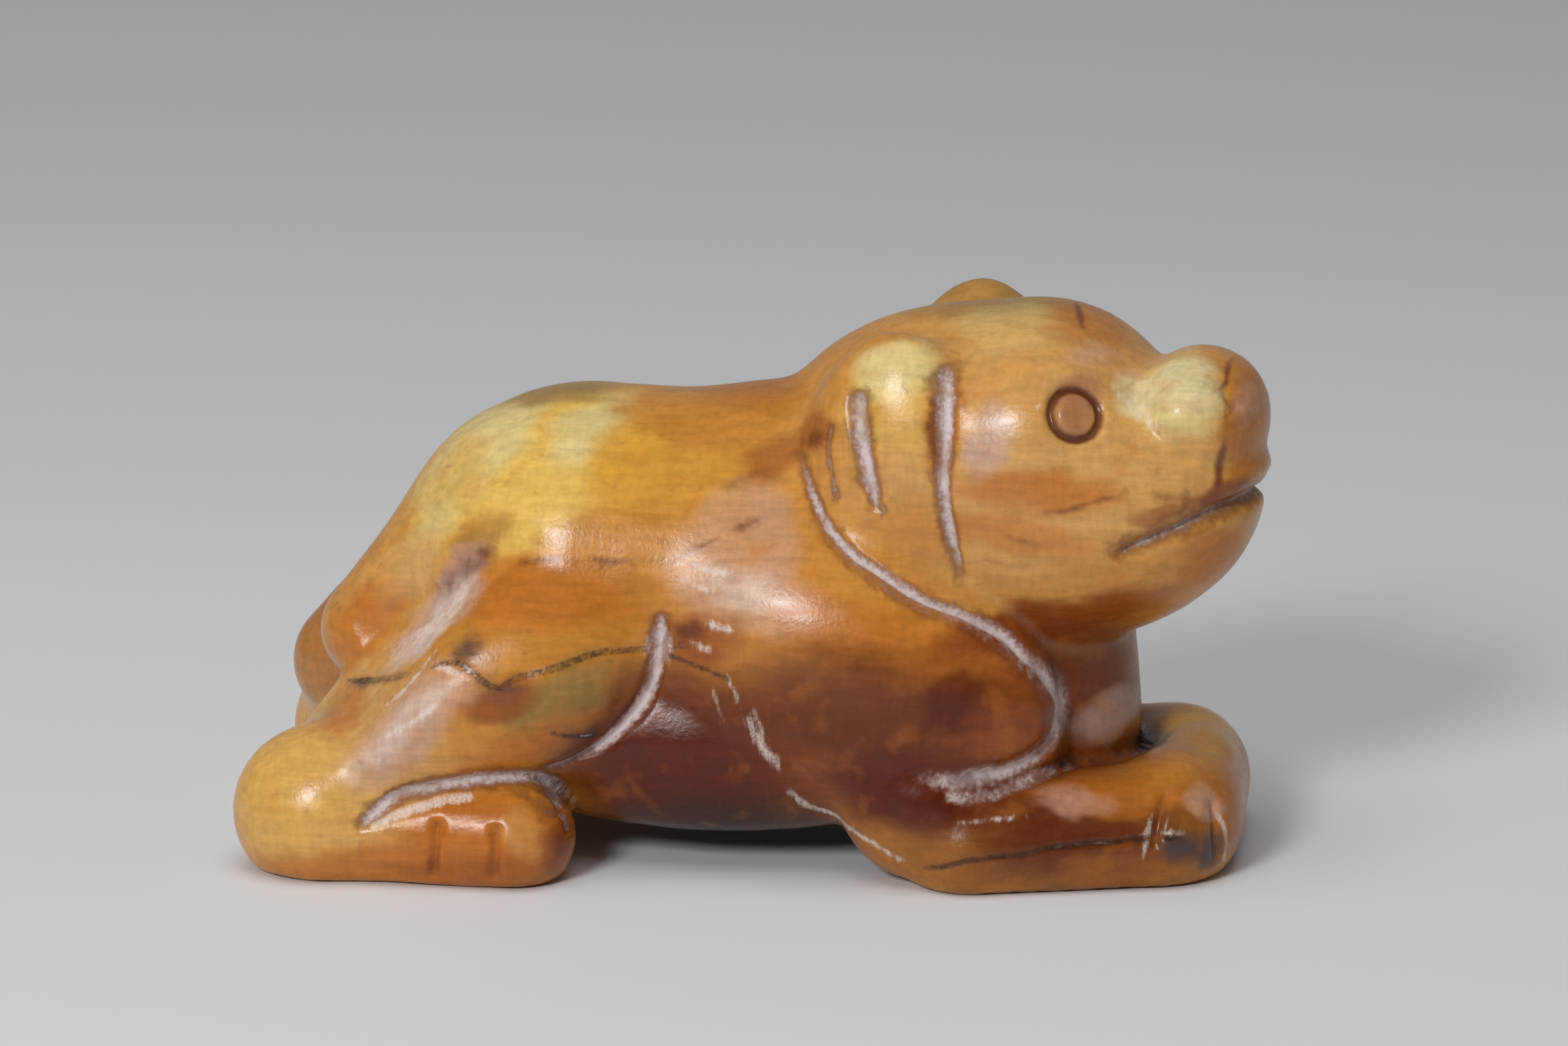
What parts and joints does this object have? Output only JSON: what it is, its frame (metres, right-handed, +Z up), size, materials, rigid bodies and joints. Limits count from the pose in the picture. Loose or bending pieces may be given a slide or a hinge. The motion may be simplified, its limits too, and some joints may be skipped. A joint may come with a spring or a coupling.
{
  "type": "soapstone chimera carving",
  "caption": "Small carved stone beast lying with folded legs, head raised and turned, with lop ears, drilled eyes, pig-like snout and a grooved mouth.",
  "frame": {"origin": "on the resting plane, under the middle of the carving's length and width", "axes": "+X towards the snout, +Z up, +Y to the figure's left"},
  "size_m": [0.0635, 0.0326, 0.0348],
  "materials": {
    "soapstone": "waxy polish, banded pale yellow to red-brown, translucent, with chalky residue in the carved lines"
  },
  "bodies": {
    "root": {"chimera_carving": "soapstone"}
  },
  "joints": []
}
